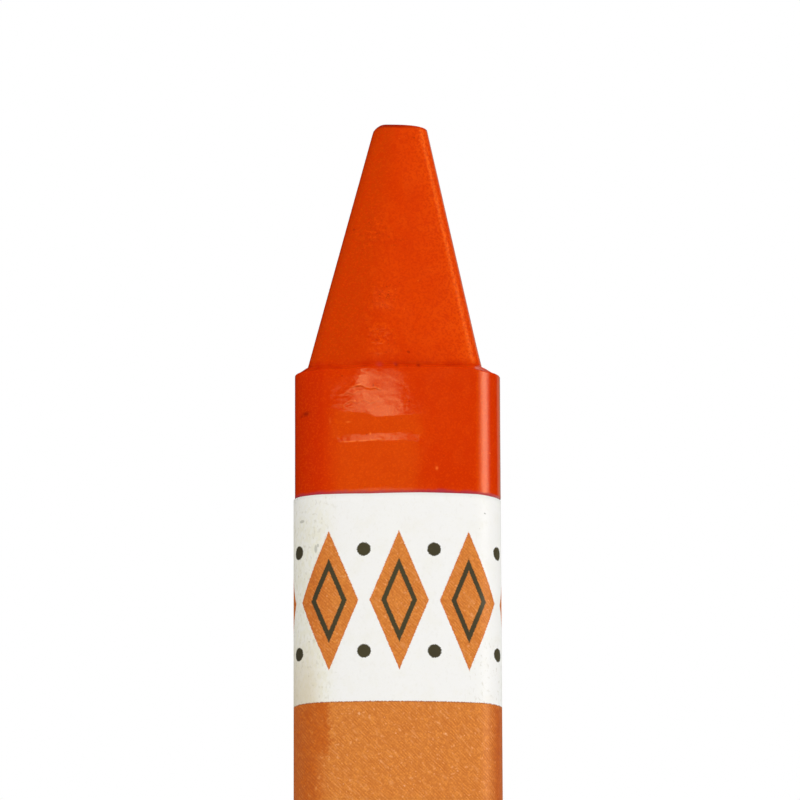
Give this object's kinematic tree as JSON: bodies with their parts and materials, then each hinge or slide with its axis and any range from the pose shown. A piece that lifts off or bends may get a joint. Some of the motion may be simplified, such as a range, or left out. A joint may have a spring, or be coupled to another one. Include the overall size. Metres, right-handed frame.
{
  "type": "triangular crayon",
  "caption": "Jumbo three-sided wax crayon with a blunt tapered tip on a small ledge, a bare wax collar and a glued paper label.",
  "frame": {"origin": "middle of the flat butt end, on the stick's axis", "axes": "+Z along the stick towards the tip; -Y out of the face that carries the label's front; one corner points to +Y"},
  "size_m": [0.0122, 0.0116, 0.1],
  "materials": {
    "wax": "satin",
    "label_paper": "matte",
    "paste": "satin"
  },
  "bodies": {
    "root": {"wax_stick": "wax", "paper_wrapper": "label_paper", "start_glue": "paste", "lap_glue": "paste"}
  },
  "joints": []
}
